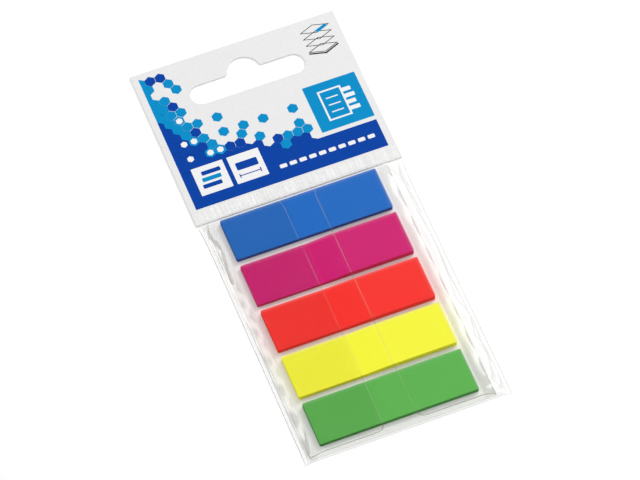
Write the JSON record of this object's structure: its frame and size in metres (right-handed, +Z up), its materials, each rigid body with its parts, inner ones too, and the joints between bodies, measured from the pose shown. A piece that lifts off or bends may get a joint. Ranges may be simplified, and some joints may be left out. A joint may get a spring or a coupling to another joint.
{
  "type": "index tab pack",
  "caption": "Flat pack of sticky film index tabs: coloured pads in a folded clear dispenser sheet, inside a clear film pouch under a header card with a hang slot.",
  "frame": {"origin": "middle of the pack's outline, on the surface that its back film lies on", "axes": "+X along the tabs, +Y towards the header card's hang slot, +Z up through the pack, out of its front"},
  "size_m": [0.057, 0.1236, 0.0025],
  "materials": {
    "header_card": "smooth coated card printed in blue, cyan and light grey",
    "pouch": "thin clear glossy film, milky in the ridged heat seal",
    "dispenser_sheet": "clear glossy folded sheet",
    "blue_pad": "satin translucent blue film tabs",
    "magenta_pad": "satin translucent magenta film tabs",
    "red_pad": "satin translucent red film tabs",
    "yellow_pad": "satin translucent yellow film tabs",
    "green_pad": "satin translucent green film tabs"
  },
  "bodies": {
    "root": {"header_card": "header_card", "pouch": "pouch", "dispenser_sheet": "dispenser_sheet", "blue_pad": "blue_pad", "magenta_pad": "magenta_pad", "red_pad": "red_pad", "yellow_pad": "yellow_pad", "green_pad": "green_pad"}
  },
  "joints": []
}
